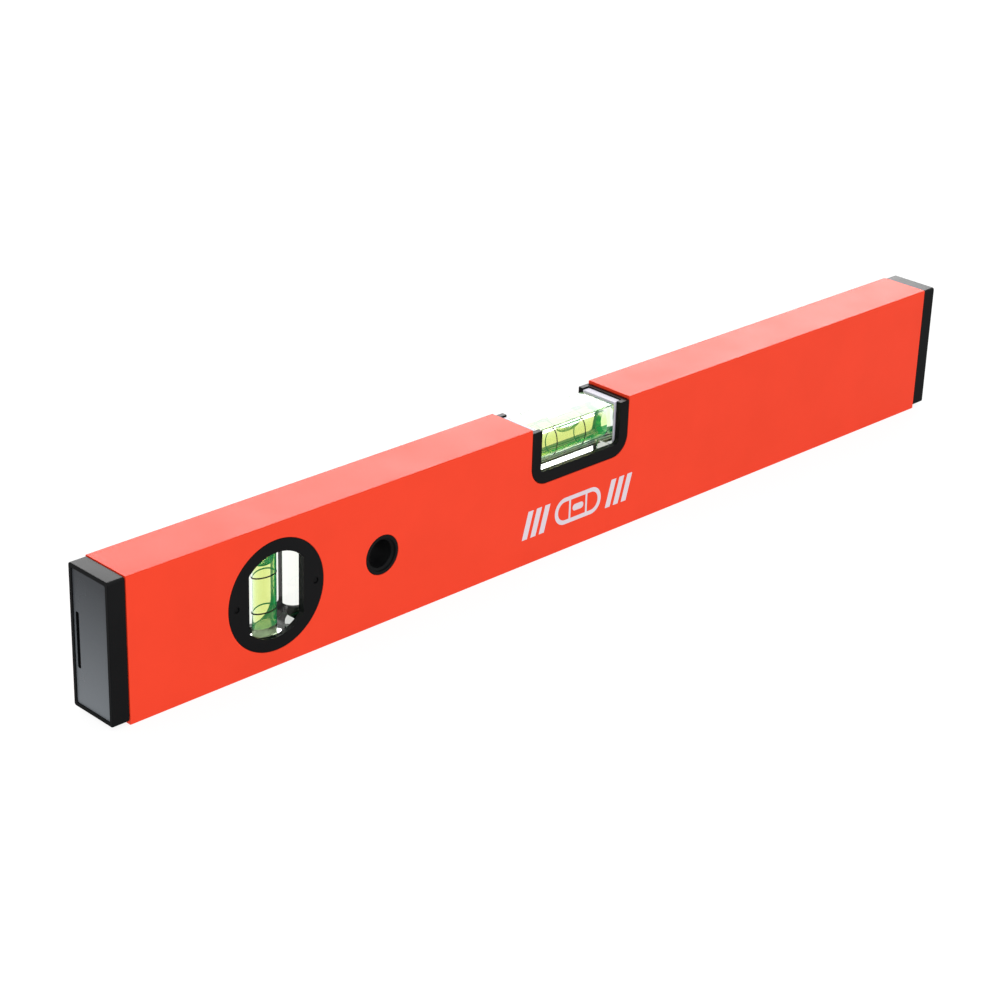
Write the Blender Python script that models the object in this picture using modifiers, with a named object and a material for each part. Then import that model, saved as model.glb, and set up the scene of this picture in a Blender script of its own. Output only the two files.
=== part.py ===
"""A 400 mm box-section spirit level with a centre vial, a plumb vial and a hang hole.

Frame: +X along the level, +Z up, the printed face towards -Y. The origin is at the middle of the
underside. Every size below is in metres.
"""

from math import acos, cos, degrees, pi, radians, sin

import bmesh
import bpy
from mathutils import Matrix, Vector

MM = 0.001

# Driving sizes of the level
LENGTH = 400 * MM
HEIGHT = 50 * MM
THICKNESS = 20 * MM
WALL = 1.2 * MM
EDGE_RADIUS = 0.35 * MM
CAP_LENGTH = 6.5 * MM
FIT = 0.15 * MM  # gap round a piece that is pressed or dropped into another
FACE = THICKNESS / 2
BODY_LENGTH = LENGTH - 2 * CAP_LENGTH

# Notch and cradle of the centre vial
NOTCH_X = -0.5 * MM
NOTCH_HALF = 23.85 * MM
NOTCH_FLOOR = 28.55 * MM
NOTCH_RADIUS = 7.3 * MM
CRADLE_TOP = 48.8 * MM
CRADLE_GAP = 0.2 * MM
CRADLE_FRONT_WINDOW = (-19.75 * MM, 18.85 * MM)  # the opening in its front lip
CRADLE_REAR_WINDOW = (-19.2 * MM, 18.4 * MM)
WINDOW_RADIUS = 1.6 * MM
CRADLE_FRONT_SILL = 33.2 * MM
CRADLE_REAR_SILL = 34.0 * MM
CRADLE_POCKET = (-22.05 * MM, 21.4 * MM)
CRADLE_FLOOR = 30.6 * MM
LIP = 2.0 * MM

# Centre vial
BLOCK_HALF = 7.8 * MM
CENTRE_BLOCK_X = (-19.8 * MM, 18.1 * MM)
CENTRE_BLOCK_Z = (31.9 * MM, 47.7 * MM)
CENTRE_AXIS_Z = 39.8 * MM
CENTRE_RADIUS = 4.9 * MM
CENTRE_CAVITY_END = 16.3 * MM
CENTRE_PLUG = 2.6 * MM
CENTRE_MIDDLE = -1.65 * MM  # middle of the two reading lines
CENTRE_LINES = 13.95 * MM
TRAY_TOP = 48.3 * MM
TRAY_FLOOR = 0.85 * MM

# Bubble of the centre vial: a lens that lies against the top of the cavity
CENTRE_BUBBLE_X = -0.9 * MM
LENS_LENGTH = 11.6 * MM
LENS_WIDTH = 6.4 * MM
LENS_DEPTH = 2.6 * MM
CENTRE_TRAVEL = 10.0 * MM
BUBBLE_ROOM = 0.3 * MM  # between a bubble and the liquid that its path is cut from

# Plumb vial
PLUMB_X = -136.3 * MM
MID_Z = 25.0 * MM
PLUMB_HOLE = 19.25 * MM
PLUMB_WINDOW = 14.8 * MM
PLUMB_WINDOW_HALF = 11.0 * MM
BEZEL_DEPTH = 2.05 * MM
BEZEL_SKIRT = 1.3 * MM
PLUMB_BLOCK_HALF = 10.8 * MM
PLUMB_BLOCK_Z = (-15.8 * MM, 15.4 * MM)  # from the middle of the hole
PLUMB_SHOULDER = 13.6 * MM  # the block's corners are cut off from here to its ends
PLUMB_END_HALF = 7.4 * MM
PLUMB_RADIUS = 4.72 * MM
PLUMB_CAVITY = (-12.8 * MM, 13.2 * MM)
PLUMB_LINES = (-7.3 * MM, 5.15 * MM)
PIN_OFFSET = 15.95 * MM
PIN_RADIUS = 0.95 * MM
PIN_RECESS = 0.35 * MM
PLUMB_BUBBLE_LENGTH = 4.4 * MM
PLUMB_BUBBLE_ROUND = 1.6 * MM
PLUMB_FLUID_FLOOR = 0.4 * MM

# Fluids, rings and bubbles stay clear of each other by these amounts
RING_GAP = 0.07 * MM
RING_WALL = 0.16 * MM
RING_WIDTH = 0.4 * MM
FLUID_GAP = 0.33 * MM

# Hang hole
HANG_X = -92.1 * MM
HANG_HOLE = 7.0 * MM
HANG_BORE = 4.9 * MM
BUSH_MOUTH = 0.9 * MM  # the bore opens out by this much at the face
BUSH_RIDGE = 0.5 * MM
BUSH_SLEEVE = 0.4 * MM  # the bush behind the ridge is this much slimmer

# End caps
CAP_HALF = 9.85 * MM
CAP_Z = (1.2 * MM, 49.75 * MM)
CAP_CORNER = 0.8 * MM
CAP_WALL = 2.0 * MM
CAP_BOSS = 14.0 * MM
CAP_BOSS_HALF = 8.35 * MM
CAP_BOSS_Z = (1.65 * MM, 48.35 * MM)
PANEL_INSET = 1.35 * MM
PANEL_DEPTH = 0.5 * MM
SLOT_Y = 7.6 * MM
SLOT_WIDTH = 1.6 * MM
SLOT_Z = (14.9 * MM, 34.0 * MM)
SLOT_CORNER = 0.4 * MM
POCKET_SHIFT = 1.2 * MM  # the pocket reaches behind the slot
CAP_RIB = 0.3 * MM
CAP_RIB_HEIGHTS = (9 * MM, 25 * MM, 41 * MM)

ROUND = 72  # sides of a large circle
SMALL_ROUND = 40
ALONG_X = (pi / 2, 0, pi / 2)  # turns local X, Y, Z to world Y, Z, X
ALONG_Y = (pi / 2, 0, 0)  # turns local X, Y, Z to world X, Z, -Y
TOWARDS_REAR = (-pi / 2, 0, 0)  # turns local Z to world Y
ALONG_Z = (0, 0, 0)


def clear_scene():
    for obj in list(bpy.data.objects):
        bpy.data.objects.remove(obj)


def make_collection(name):
    collection = bpy.data.collections.new(name)
    bpy.context.scene.collection.children.link(collection)
    return collection


def make_material(name, colour, roughness, metallic=0.0, transmission=0.0, alpha=1.0):
    material = bpy.data.materials.new(name)
    material.use_nodes = True
    shader = material.node_tree.nodes["Principled BSDF"]
    shader.inputs["Base Color"].default_value = (*colour, 1)
    shader.inputs["Roughness"].default_value = roughness
    shader.inputs["Metallic"].default_value = metallic
    shader.inputs["Transmission Weight"].default_value = transmission
    shader.inputs["Alpha"].default_value = alpha
    return material


clear_scene()
PARTS = make_collection("spirit_level")
CUTTERS = make_collection("cutters")
ROOT = bpy.data.objects.new("spirit_level", None)
PARTS.objects.link(ROOT)

RED = make_material("red powder coat", (0.93, 0.06, 0.03), 0.45)
BLACK = make_material("black moulded plastic", (0.016, 0.016, 0.017), 0.5)
WHITE = make_material("white plastic", (0.85, 0.85, 0.88), 0.5)
CLEAR = make_material("clear acrylic", (0.95, 1.0, 0.95), 0.02, transmission=1.0)
GREEN = make_material("vial liquid", (0.62, 0.90, 0.20), 0.0, transmission=0.6)
AIR = make_material("air bubble", (0.95, 1.0, 0.90), 0.0, transmission=0.9)
INK = make_material("reading line", (0.02, 0.03, 0.02), 0.5)


def add(name, mesh, material=None, location=(0, 0, 0), rotation=ALONG_Z):
    """Links a mesh as a piece of the level, or as a cutter where it has no material."""
    obj = bpy.data.objects.new(name, mesh)
    obj.location = location
    obj.rotation_euler = rotation
    if material is None:
        CUTTERS.objects.link(obj)
        obj.hide_render = True
        obj.display_type = "WIRE"
    else:
        PARTS.objects.link(obj)
        obj.parent = ROOT
        mesh.materials.append(material)
    return obj


def box(name, low, high, material=None):
    """A box from its lowest to its highest corner, with its origin at its centre."""
    low, high = Vector(low), Vector(high)
    mesh = bpy.data.meshes.new(name)
    bm = bmesh.new()
    bmesh.ops.create_cube(bm, size=1, matrix=Matrix.Diagonal((*(high - low), 1)))
    bm.to_mesh(mesh)
    bm.free()
    return add(name, mesh, material, (low + high) / 2)


def cylinder(name, centre, radius, length, rotation, material=None, sides=SMALL_ROUND):
    """A cylinder whose axis is local Z, turned by one of the ALONG rotations."""
    mesh = bpy.data.meshes.new(name)
    bm = bmesh.new()
    bmesh.ops.create_cone(
        bm, cap_ends=True, segments=sides, radius1=radius, radius2=radius, depth=length
    )
    bm.to_mesh(mesh)
    bm.free()
    obj = add(name, mesh, material, centre, rotation)
    smooth(obj)
    return obj


def smooth(obj):
    obj.data.shade_smooth()
    obj.data.set_sharp_from_angle(angle=radians(35))


def arc(centre, radius, start, end, steps):
    """Points along an arc in the plane, from one angle to another in degrees."""
    angles = [radians(start + (end - start) * i / steps) for i in range(steps + 1)]
    return [(centre[0] + radius * cos(a), centre[1] + radius * sin(a)) for a in angles]


def rounded_rectangle(low, high, radius, steps=5):
    """The outline of a rectangle with four round corners."""
    corners = (
        ((high[0] - radius, high[1] - radius), 0),
        ((low[0] + radius, high[1] - radius), 90),
        ((low[0] + radius, low[1] + radius), 180),
        ((high[0] - radius, low[1] + radius), 270),
    )
    points = []
    for centre, start in corners:
        points += arc(centre, radius, start, start + 90, steps)
    return points


def u_outline(left, right, floor, top, radius, steps=8):
    """The outline of a slot that is open upwards, with two round lower corners."""
    points = [(right, top), (left, top)]
    points += arc((left + radius, floor + radius), radius, 180, 270, steps)
    points += arc((right - radius, floor + radius), radius, 270, 360, steps)
    return points


def plate(name, outlines, thickness, centre, rotation, material=None):
    """A flat plate from closed outlines, later ones being holes, made a mesh."""
    curve = bpy.data.curves.new(name, "CURVE")
    curve.dimensions = "2D"
    curve.fill_mode = "BOTH"
    curve.extrude = thickness / 2
    for outline in outlines:
        spline = curve.splines.new("POLY")
        spline.points.add(len(outline) - 1)
        for point, (x, y) in zip(spline.points, outline):
            point.co = (x, y, 0, 1)
        spline.use_cyclic_u = True
    guide = bpy.data.objects.new(name + "_curve", curve)
    CUTTERS.objects.link(guide)
    graph = bpy.context.evaluated_depsgraph_get()
    mesh = bpy.data.meshes.new_from_object(guide.evaluated_get(graph))
    bpy.data.objects.remove(guide)
    bpy.data.curves.remove(curve)
    bm = bmesh.new()
    bm.from_mesh(mesh)
    bmesh.ops.remove_doubles(bm, verts=bm.verts, dist=MM / 1000)
    bmesh.ops.recalc_face_normals(bm, faces=bm.faces)
    bm.to_mesh(mesh)
    bm.free()
    mesh.name = name
    mesh.materials.clear()
    return add(name, mesh, material, centre, rotation)


def turned(name, profile, centre, rotation, material=None, sides=SMALL_ROUND):
    """A turned shape from its closed or axis-to-axis profile of (radius, height) points."""
    mesh = bpy.data.meshes.new(name)
    edges = [(i, i + 1) for i in range(len(profile) - 1)]
    if min(radius for radius, _ in profile) > 0:
        edges.append((len(profile) - 1, 0))
    mesh.from_pydata([(radius, 0, height) for radius, height in profile], edges, [])
    obj = add(name, mesh, material, centre, rotation)
    screw = obj.modifiers.new("turn", "SCREW")
    screw.angle = 2 * pi
    screw.steps = screw.render_steps = sides
    screw.use_merge_vertices = True
    screw.merge_threshold = MM / 1000
    screw.use_smooth_shade = False
    return obj


def join_or_cut(obj, others, operation):
    for other in others:
        boolean = obj.modifiers.new(operation.lower(), "BOOLEAN")
        boolean.operation = operation
        boolean.object = other
        boolean.solver = "EXACT"


def cut(obj, *others):
    join_or_cut(obj, others, "DIFFERENCE")


def keep(obj, *others):
    join_or_cut(obj, others, "INTERSECT")


def join(obj, *others):
    join_or_cut(obj, others, "UNION")


def build_body():
    """The box-section profile, cut for the plumb vial, the hang hole and the centre vial."""
    outer = rounded_rectangle((-FACE, 0), (FACE, HEIGHT), EDGE_RADIUS)
    inner = rounded_rectangle((WALL - FACE, WALL), (FACE - WALL, HEIGHT - WALL), EDGE_RADIUS / 2, 3)
    body = plate("body_profile", (outer, inner), BODY_LENGTH, (0, 0, 0), ALONG_X, RED)
    through = THICKNESS + 10 * MM
    plumb = cylinder("cut_plumb", (PLUMB_X, 0, MID_Z), PLUMB_HOLE, through, ALONG_Y, sides=ROUND)
    hang = cylinder("cut_hang", (HANG_X, 0, MID_Z), HANG_HOLE, through, ALONG_Y)
    outline = u_outline(-NOTCH_HALF, NOTCH_HALF, NOTCH_FLOOR, HEIGHT + WALL, NOTCH_RADIUS)
    notch = plate("cut_notch", (outline,), through, (NOTCH_X, 0, 0), ALONG_Y)
    cut(body, plumb, hang, notch)


def build_end_cap(name, turn):
    """A cap with a recessed panel, a pry slot and a hollow boss that presses into the profile."""
    outline = rounded_rectangle((-CAP_HALF, CAP_Z[0]), (CAP_HALF, CAP_Z[1]), CAP_CORNER)
    end = -LENGTH / 2
    seat = -BODY_LENGTH / 2 - FIT
    cap = plate(name, (outline,), seat - end, ((seat + end) / 2, 0, 0), ALONG_X, BLACK)
    cap.matrix_basis = Matrix.Rotation(turn, 4, "Z") @ cap.matrix_basis

    boss_outline = rounded_rectangle(
        (-CAP_BOSS_HALF, CAP_BOSS_Z[0]), (CAP_BOSS_HALF, CAP_BOSS_Z[1]), CAP_CORNER, 3
    )
    boss_end = seat + CAP_BOSS
    boss_start = seat - CAP_WALL
    boss = plate(
        name + "_boss", (boss_outline,), boss_end - boss_start,
        ((boss_end + boss_start) / 2, 0, 0), ALONG_X,
    )
    helpers = [boss]
    for i, height in enumerate(CAP_RIB_HEIGHTS):
        rib = box(
            f"{name}_rib_{i}",
            (seat - MM, -CAP_BOSS_HALF - CAP_RIB, height - MM / 2),
            (boss_end - MM, CAP_BOSS_HALF + CAP_RIB, height + MM / 2),
        )
        helpers.append(rib)
    join(cap, *helpers)

    pocket = box(
        name + "_pocket",
        (end + CAP_WALL + PANEL_DEPTH, CAP_WALL - CAP_BOSS_HALF, CAP_BOSS_Z[0] + CAP_WALL),
        (boss_end + MM, CAP_BOSS_HALF - CAP_WALL + POCKET_SHIFT, CAP_BOSS_Z[1] - CAP_WALL),
    )
    panel_outline = rounded_rectangle(
        (PANEL_INSET - CAP_HALF, CAP_Z[0] + PANEL_INSET),
        (CAP_HALF - PANEL_INSET, CAP_Z[1] - PANEL_INSET),
        CAP_CORNER / 2, 3,
    )
    panel = plate(name + "_panel", (panel_outline,), 2 * PANEL_DEPTH, (end, 0, 0), ALONG_X)
    slot_outline = rounded_rectangle(
        (SLOT_Y - SLOT_WIDTH, SLOT_Z[0]), (SLOT_Y, SLOT_Z[1]), SLOT_CORNER, 3
    )
    slot = plate(name + "_slot", (slot_outline,), 4 * CAP_WALL, (end, 0, 0), ALONG_X)
    cut(cap, pocket, panel, slot)
    for helper in helpers + [pocket, panel, slot]:
        helper.matrix_basis = Matrix.Rotation(turn, 4, "Z") @ helper.matrix_basis


def build_cradle():
    """The U-shaped holder of the centre vial, open at the top and through both faces."""
    edge = NOTCH_HALF - CRADLE_GAP
    outline = u_outline(-edge, edge, NOTCH_FLOOR + CRADLE_GAP, CRADLE_TOP, NOTCH_RADIUS)
    cradle = plate("centre_cradle", (outline,), THICKNESS, (NOTCH_X, 0, 0), ALONG_Y, BLACK)
    pocket = box(
        "cut_cradle_pocket",
        (CRADLE_POCKET[0], LIP - FACE, CRADLE_FLOOR),
        (CRADLE_POCKET[1], FACE - LIP, HEIGHT + MM),
    )
    cut(cradle, pocket)
    windows = (
        ("front", CRADLE_FRONT_WINDOW, CRADLE_FRONT_SILL, -THICKNESS / 2),
        ("rear", CRADLE_REAR_WINDOW, CRADLE_REAR_SILL, THICKNESS / 2),
    )
    for name, sides, sill, centre in windows:
        outline = u_outline(*sides, sill, HEIGHT + MM, WINDOW_RADIUS, 4)
        window = plate(f"cut_{name}_window", (outline,), THICKNESS, (0, centre, 0), ALONG_Y)
        cut(cradle, window)


def build_tray():
    """The white insert between cradle and block: a floor and two end walls."""
    half = BLOCK_HALF - FIT
    low = CRADLE_FLOOR + FIT
    left, right = CRADLE_POCKET[0] + FIT, CRADLE_POCKET[1] - FIT
    tray = box("centre_backing_tray", (left, -half, low), (right, half, TRAY_TOP), WHITE)
    room = box(
        "cut_tray_room",
        (CENTRE_BLOCK_X[0] - FIT, -2 * half, low + TRAY_FLOOR),
        (CENTRE_BLOCK_X[1] + FIT, 2 * half, HEIGHT),
    )
    cut(tray, room)


def build_ring(name, centre, radius, rotation):
    """A reading line as a thin band just inside its cavity."""
    outer = radius - RING_GAP
    inner = outer - RING_WALL
    half = RING_WIDTH / 2
    profile = [(outer, half), (outer, -half), (inner, -half), (inner, half)]
    turned(name, profile, centre, rotation, INK)


def build_centre_vial():
    """The centre vial: bored block, plug, two lines, liquid and its bubble."""
    low = (CENTRE_BLOCK_X[0], -BLOCK_HALF, CENTRE_BLOCK_Z[0])
    high = (CENTRE_BLOCK_X[1], BLOCK_HALF, CENTRE_BLOCK_Z[1])
    block = box("centre_vial_block", low, high, CLEAR)
    start = CENTRE_BLOCK_X[0] - MM
    cavity = cylinder(
        "cut_centre_cavity", ((start + CENTRE_CAVITY_END) / 2, 0, CENTRE_AXIS_Z),
        CENTRE_RADIUS, CENTRE_CAVITY_END - start, ALONG_X,
    )
    cut(block, cavity)

    plug_end = CENTRE_BLOCK_X[0] + CENTRE_PLUG
    cylinder(
        "centre_vial_plug", ((CENTRE_BLOCK_X[0] + plug_end) / 2, 0, CENTRE_AXIS_Z),
        CENTRE_RADIUS - FIT, CENTRE_PLUG, ALONG_X, CLEAR,
    )
    for side, sign in (("left", -1), ("right", 1)):
        x = CENTRE_MIDDLE + sign * CENTRE_LINES / 2
        build_ring(f"centre_ring_{side}", (x, 0, CENTRE_AXIS_Z), CENTRE_RADIUS, ALONG_X)

    fluid_start, fluid_end = plug_end + FIT, CENTRE_CAVITY_END - FIT
    radius = CENTRE_RADIUS - FLUID_GAP
    fluid = cylinder(
        "centre_fluid", ((fluid_start + fluid_end) / 2, 0, CENTRE_AXIS_Z),
        radius, fluid_end - fluid_start, ALONG_X, GREEN,
    )
    bubble_z = CENTRE_AXIS_Z + radius
    reach = LENS_LENGTH / 2 + CENTRE_TRAVEL + BUBBLE_ROOM
    half = LENS_WIDTH / 2 + BUBBLE_ROOM
    path = box(
        "cut_centre_path",
        (CENTRE_BUBBLE_X - reach, -half, bubble_z - LENS_DEPTH - BUBBLE_ROOM),
        (CENTRE_BUBBLE_X + reach, half, bubble_z + MM),
    )
    cut(fluid, path)

    build_lens_bubble(radius, bubble_z)


def build_lens_bubble(radius, top):
    """An ellipsoid lens that is trimmed by the round wall of the cavity above it."""
    mesh = bpy.data.meshes.new("centre_bubble")
    bm = bmesh.new()
    scale = Matrix.Diagonal((LENS_LENGTH / 2, LENS_WIDTH / 2, LENS_DEPTH, 1))
    bmesh.ops.create_uvsphere(bm, u_segments=24, v_segments=12, radius=1, matrix=scale)
    bm.to_mesh(mesh)
    bm.free()
    bubble = add("centre_bubble", mesh, AIR, (CENTRE_BUBBLE_X, 0, top))
    smooth(bubble)
    wall = cylinder(
        "cut_bubble_wall", (CENTRE_BUBBLE_X, 0, CENTRE_AXIS_Z), radius, 2 * LENS_LENGTH, ALONG_X
    )
    keep(bubble, wall)


def plumb_block_outline():
    """Upright block outline whose corners are cut off, so that it passes through the round hole."""
    half, end, shoulder = PLUMB_BLOCK_HALF, PLUMB_END_HALF, PLUMB_SHOULDER
    low, high = PLUMB_BLOCK_Z
    return [
        (half, shoulder), (end, high), (-end, high), (-half, shoulder),
        (-half, -shoulder), (-end, low), (end, low), (half, -shoulder),
    ]


def window_outline():
    """A circle that is cut off by two upright sides."""
    edge = degrees(acos(PLUMB_WINDOW_HALF / PLUMB_WINDOW))
    upper = arc((0, 0), PLUMB_WINDOW, edge, 180 - edge, 16)
    lower = arc((0, 0), PLUMB_WINDOW, 180 + edge, 360 - edge, 16)
    return upper + lower


def build_bezel(name, facing):
    """A round housing half: a disc with the window, and a skirt that meets the other half."""
    outer = PLUMB_HOLE - FIT
    skirt = outer - BEZEL_SKIRT
    meeting = FIT
    profile = [
        (0, FACE), (outer, FACE), (outer, meeting), (skirt, meeting), (skirt, FACE - BEZEL_DEPTH),
        (0, FACE - BEZEL_DEPTH),
    ]
    rotation = ALONG_Y if facing < 0 else TOWARDS_REAR
    centre = (PLUMB_X, 0, MID_Z)
    bezel = turned(name, profile, centre, rotation, BLACK, ROUND)
    window = plate(f"cut_{name}_window", (window_outline(),), 4 * FACE, centre, ALONG_Y)
    cut(bezel, window)
    for side in (-1, 1):
        hole = cylinder(
            f"cut_{name}_pin_{side}", (PLUMB_X + side * PIN_OFFSET, 0, MID_Z),
            PIN_RADIUS + FIT, 4 * FACE, ALONG_Y, sides=16,
        )
        cut(bezel, hole)


def build_plumb_vial():
    """The plumb vial: bored block, plug, two lines, liquid and its bubble."""
    centre = (PLUMB_X, 0, MID_Z)
    block = plate(
        "plumb_vial_block", (plumb_block_outline(),), 2 * BLOCK_HALF, centre, ALONG_Y, CLEAR
    )
    low, high = PLUMB_BLOCK_Z[0] - MM, PLUMB_CAVITY[1]
    cavity = cylinder(
        "cut_plumb_cavity", (PLUMB_X, 0, MID_Z + (low + high) / 2),
        PLUMB_RADIUS, high - low, ALONG_Z,
    )
    cut(block, cavity)

    plug_low, plug_high = PLUMB_BLOCK_Z[0], PLUMB_CAVITY[0] - FIT
    cylinder(
        "plumb_vial_plug", (PLUMB_X, 0, MID_Z + (plug_low + plug_high) / 2),
        PLUMB_RADIUS - FIT, plug_high - plug_low, ALONG_Z, CLEAR,
    )
    for side, height in zip(("lower", "upper"), PLUMB_LINES):
        build_ring(
            f"plumb_ring_{side}", (PLUMB_X, 0, MID_Z + height), PLUMB_RADIUS, ALONG_Z
        )

    radius = PLUMB_RADIUS - FLUID_GAP
    well = radius - BUBBLE_ROOM
    top, floor = PLUMB_CAVITY[1] - FIT, PLUMB_CAVITY[0] + FIT
    inner_floor = floor + PLUMB_FLUID_FLOOR
    profile = [
        (0, inner_floor), (well, inner_floor), (well, top), (radius, top), (radius, floor), (0, floor),
    ]
    turned("plumb_fluid", profile, centre, ALONG_Z, GREEN)

    bubble_radius = well - BUBBLE_ROOM
    half = PLUMB_BUBBLE_LENGTH / 2
    rounding = PLUMB_BUBBLE_ROUND
    flank = arc((bubble_radius - rounding, half - rounding), rounding, 90, 0, 6)
    lower_flank = [(radius_, -height) for radius_, height in reversed(flank)]
    outline = [(0, half)] + flank + lower_flank + [(0, -half)]
    bubble_z = MID_Z + top - half - FIT
    turned("plumb_bubble", outline, (PLUMB_X, 0, bubble_z), ALONG_Z, AIR)


def build_pins():
    """The two pins that hold the housing halves together."""
    for side, sign in (("left", -1), ("right", 1)):
        cylinder(
            f"plumb_pin_{side}", (PLUMB_X + sign * PIN_OFFSET, 0, MID_Z),
            PIN_RADIUS, THICKNESS - 2 * PIN_RECESS, ALONG_Y, BLACK, 16,
        )


def build_bush(name, facing):
    """Half of the hang bush: a lip, a snap ridge behind the wall and a plain bore."""
    outer = HANG_HOLE - FIT
    ridge = outer + BUSH_RIDGE
    sleeve = outer - BUSH_SLEEVE
    behind = FACE - WALL - FIT
    mouth = HANG_BORE + BUSH_MOUTH
    profile = [
        (mouth, FACE), (outer, FACE), (outer, behind), (ridge, behind - FIT),
        (sleeve, behind - 2 * MM), (sleeve, FIT), (HANG_BORE, FIT), (HANG_BORE, FACE - WALL),
        (mouth, FACE - BUSH_MOUTH),
    ]
    rotation = ALONG_Y if facing < 0 else TOWARDS_REAR
    turned(name, profile, (HANG_X, 0, MID_Z), rotation, BLACK)


build_body()
build_end_cap("end_cap_left", 0)
build_end_cap("end_cap_right", pi)
build_cradle()
build_tray()
build_centre_vial()
build_bezel("plumb_bezel_front", -1)
build_bezel("plumb_bezel_rear", 1)
build_plumb_vial()
build_pins()
build_bush("hang_bush_front", -1)
build_bush("hang_bush_rear", 1)
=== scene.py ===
"""Looks of a 400 mm box-section spirit level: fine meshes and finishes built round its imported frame.

The frame's axes are +X along the level, -Y towards the printed face and +Z up, in metres. The level
stands on its lower edge on a white table, in soft light from a tent of white panels.
"""

import logging
from collections.abc import Sequence
from dataclasses import dataclass
from enum import Enum
from math import acos, cos, pi, radians, sin

import bmesh
import bpy
from mathutils import Matrix, Vector


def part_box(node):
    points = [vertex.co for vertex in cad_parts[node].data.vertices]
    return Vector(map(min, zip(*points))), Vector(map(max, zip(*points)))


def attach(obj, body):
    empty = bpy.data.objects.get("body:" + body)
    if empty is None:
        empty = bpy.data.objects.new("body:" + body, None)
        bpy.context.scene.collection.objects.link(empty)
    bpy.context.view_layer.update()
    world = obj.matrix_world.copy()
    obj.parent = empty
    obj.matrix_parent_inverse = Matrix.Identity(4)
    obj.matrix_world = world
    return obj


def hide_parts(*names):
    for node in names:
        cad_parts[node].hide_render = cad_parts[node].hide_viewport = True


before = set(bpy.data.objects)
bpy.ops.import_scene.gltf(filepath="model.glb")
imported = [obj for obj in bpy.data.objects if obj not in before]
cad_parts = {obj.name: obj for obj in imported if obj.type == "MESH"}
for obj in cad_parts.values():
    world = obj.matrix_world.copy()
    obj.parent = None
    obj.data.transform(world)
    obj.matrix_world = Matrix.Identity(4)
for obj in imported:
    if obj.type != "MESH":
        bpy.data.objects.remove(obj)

LOG = logging.getLogger("spirit_level")
MM = 0.001
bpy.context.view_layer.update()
WELD = MM / 2000  # points nearer than this are one point
NOISE_SPAN = (0.3, 0.7)  # where nearly all values of a noise texture lie
PLUMB_HOLE = 19.25 * MM  # radii of the profile's holes and of its notch's corners
HANG_HOLE = 7.0 * MM
NOTCH_RADIUS = 7.3 * MM
FIT = 0.15 * MM  # gap round a piece that is pressed into another
Point = tuple[float, float]
Place = tuple[float, float, float]
Socket = bpy.types.NodeSocket
Inputs = dict[str | int, object]


# ---------------------------------------------------------------------------------------- helpers


def linear(colour: str) -> tuple[float, float, float, float]:
    """Turns an sRGB hex colour into linear red, green, blue and alpha.

    Args:
        colour: Six hex digits, such as "F04A32".

    Returns:
        The linear colour, opaque.
    """
    shares = [int(colour[i : i + 2], 16) / 255 for i in (0, 2, 4)]
    red, green, blue = (s / 12.92 if s <= 0.04045 else ((s + 0.055) / 1.055) ** 2.4 for s in shares)
    return red, green, blue, 1.0


def add_node(
    tree: bpy.types.NodeTree, kind: str, inputs: Inputs | None = None, **settings: object
) -> bpy.types.Node:
    """Adds one node, with its settings and what goes into it.

    Args:
        tree: The tree that gets the node.
        kind: The node's type, such as "ShaderNodeBump".
        inputs: A value or an output socket for each input, by the input's name or place.
        settings: The node's own properties.

    Returns:
        The new node.
    """
    node = tree.nodes.new(kind)
    for name, value in settings.items():
        setattr(node, name, value)
    for name, value in (inputs or {}).items():
        if isinstance(value, Socket):
            tree.links.new(value, node.inputs[name])
        else:
            node.inputs[name].default_value = value
    return node


def spread(tree: bpy.types.NodeTree, value: Socket, given: Point, wanted: Point = (0.0, 1.0)) -> Socket:
    """Spreads a value from one range to another.

    Args:
        tree: The tree that gets the node.
        value: The value's socket.
        given: The value's own range.
        wanted: What the ends of that range become.

    Returns:
        The result's socket, which stays within the wanted range.
    """
    ends = {"From Min": given[0], "From Max": given[1], "To Min": wanted[0], "To Max": wanted[1]}
    return add_node(tree, "ShaderNodeMapRange", {"Value": value} | ends).outputs["Result"]


def placed(name: str, data: bpy.types.ID) -> bpy.types.Object:
    """Puts a new object in the scene, at the origin.

    Args:
        name: The object's name.
        data: Its mesh, curve, light or camera.

    Returns:
        The object.
    """
    obj = bpy.data.objects.new(name, data)
    bpy.context.scene.collection.objects.link(obj)
    return obj


def arc(centre: Point, radius: float, start: float, end: float, steps: int) -> list[Point]:
    """Points along an arc.

    Args:
        centre: The arc's centre.
        radius: The arc's radius.
        start: The first point's angle in degrees.
        end: The last point's angle in degrees.
        steps: How many chords the arc has.

    Returns:
        The points, from start to end.
    """
    angles = [radians(start + (end - start) * i / steps) for i in range(steps + 1)]
    return [(centre[0] + radius * cos(a), centre[1] + radius * sin(a)) for a in angles]


def rounded_rectangle(low: Point, high: Point, radius: float, steps: int = 8) -> list[Point]:
    """The outline of a rectangle with round corners.

    Args:
        low: The lower left corner.
        high: The upper right corner.
        radius: The corners' radius.
        steps: How many chords each corner has.

    Returns:
        The outline's points, in order.
    """
    corners = (
        ((high[0] - radius, high[1] - radius), 0),
        ((low[0] + radius, high[1] - radius), 90),
        ((low[0] + radius, low[1] + radius), 180),
        ((high[0] - radius, low[1] + radius), 270),
    )
    return [point for centre, start in corners for point in arc(centre, radius, start, start + 90, steps)]


def open_slot(sides: Point, floor: float, top: float, radius: float, steps: int = 10) -> list[Point]:
    """The outline of a slot that is open upwards, with round lower corners.

    Args:
        sides: The slot's left and right side.
        floor: The slot's lowest height.
        top: The height of its open end.
        radius: The lower corners' radius.
        steps: How many chords each corner has.

    Returns:
        The outline's points, in order.
    """
    left, right = sides
    points = [(right, top), (left, top)]
    points += arc((left + radius, floor + radius), radius, 180, 270, steps)
    return points + arc((right - radius, floor + radius), radius, 270, 360, steps)


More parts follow.
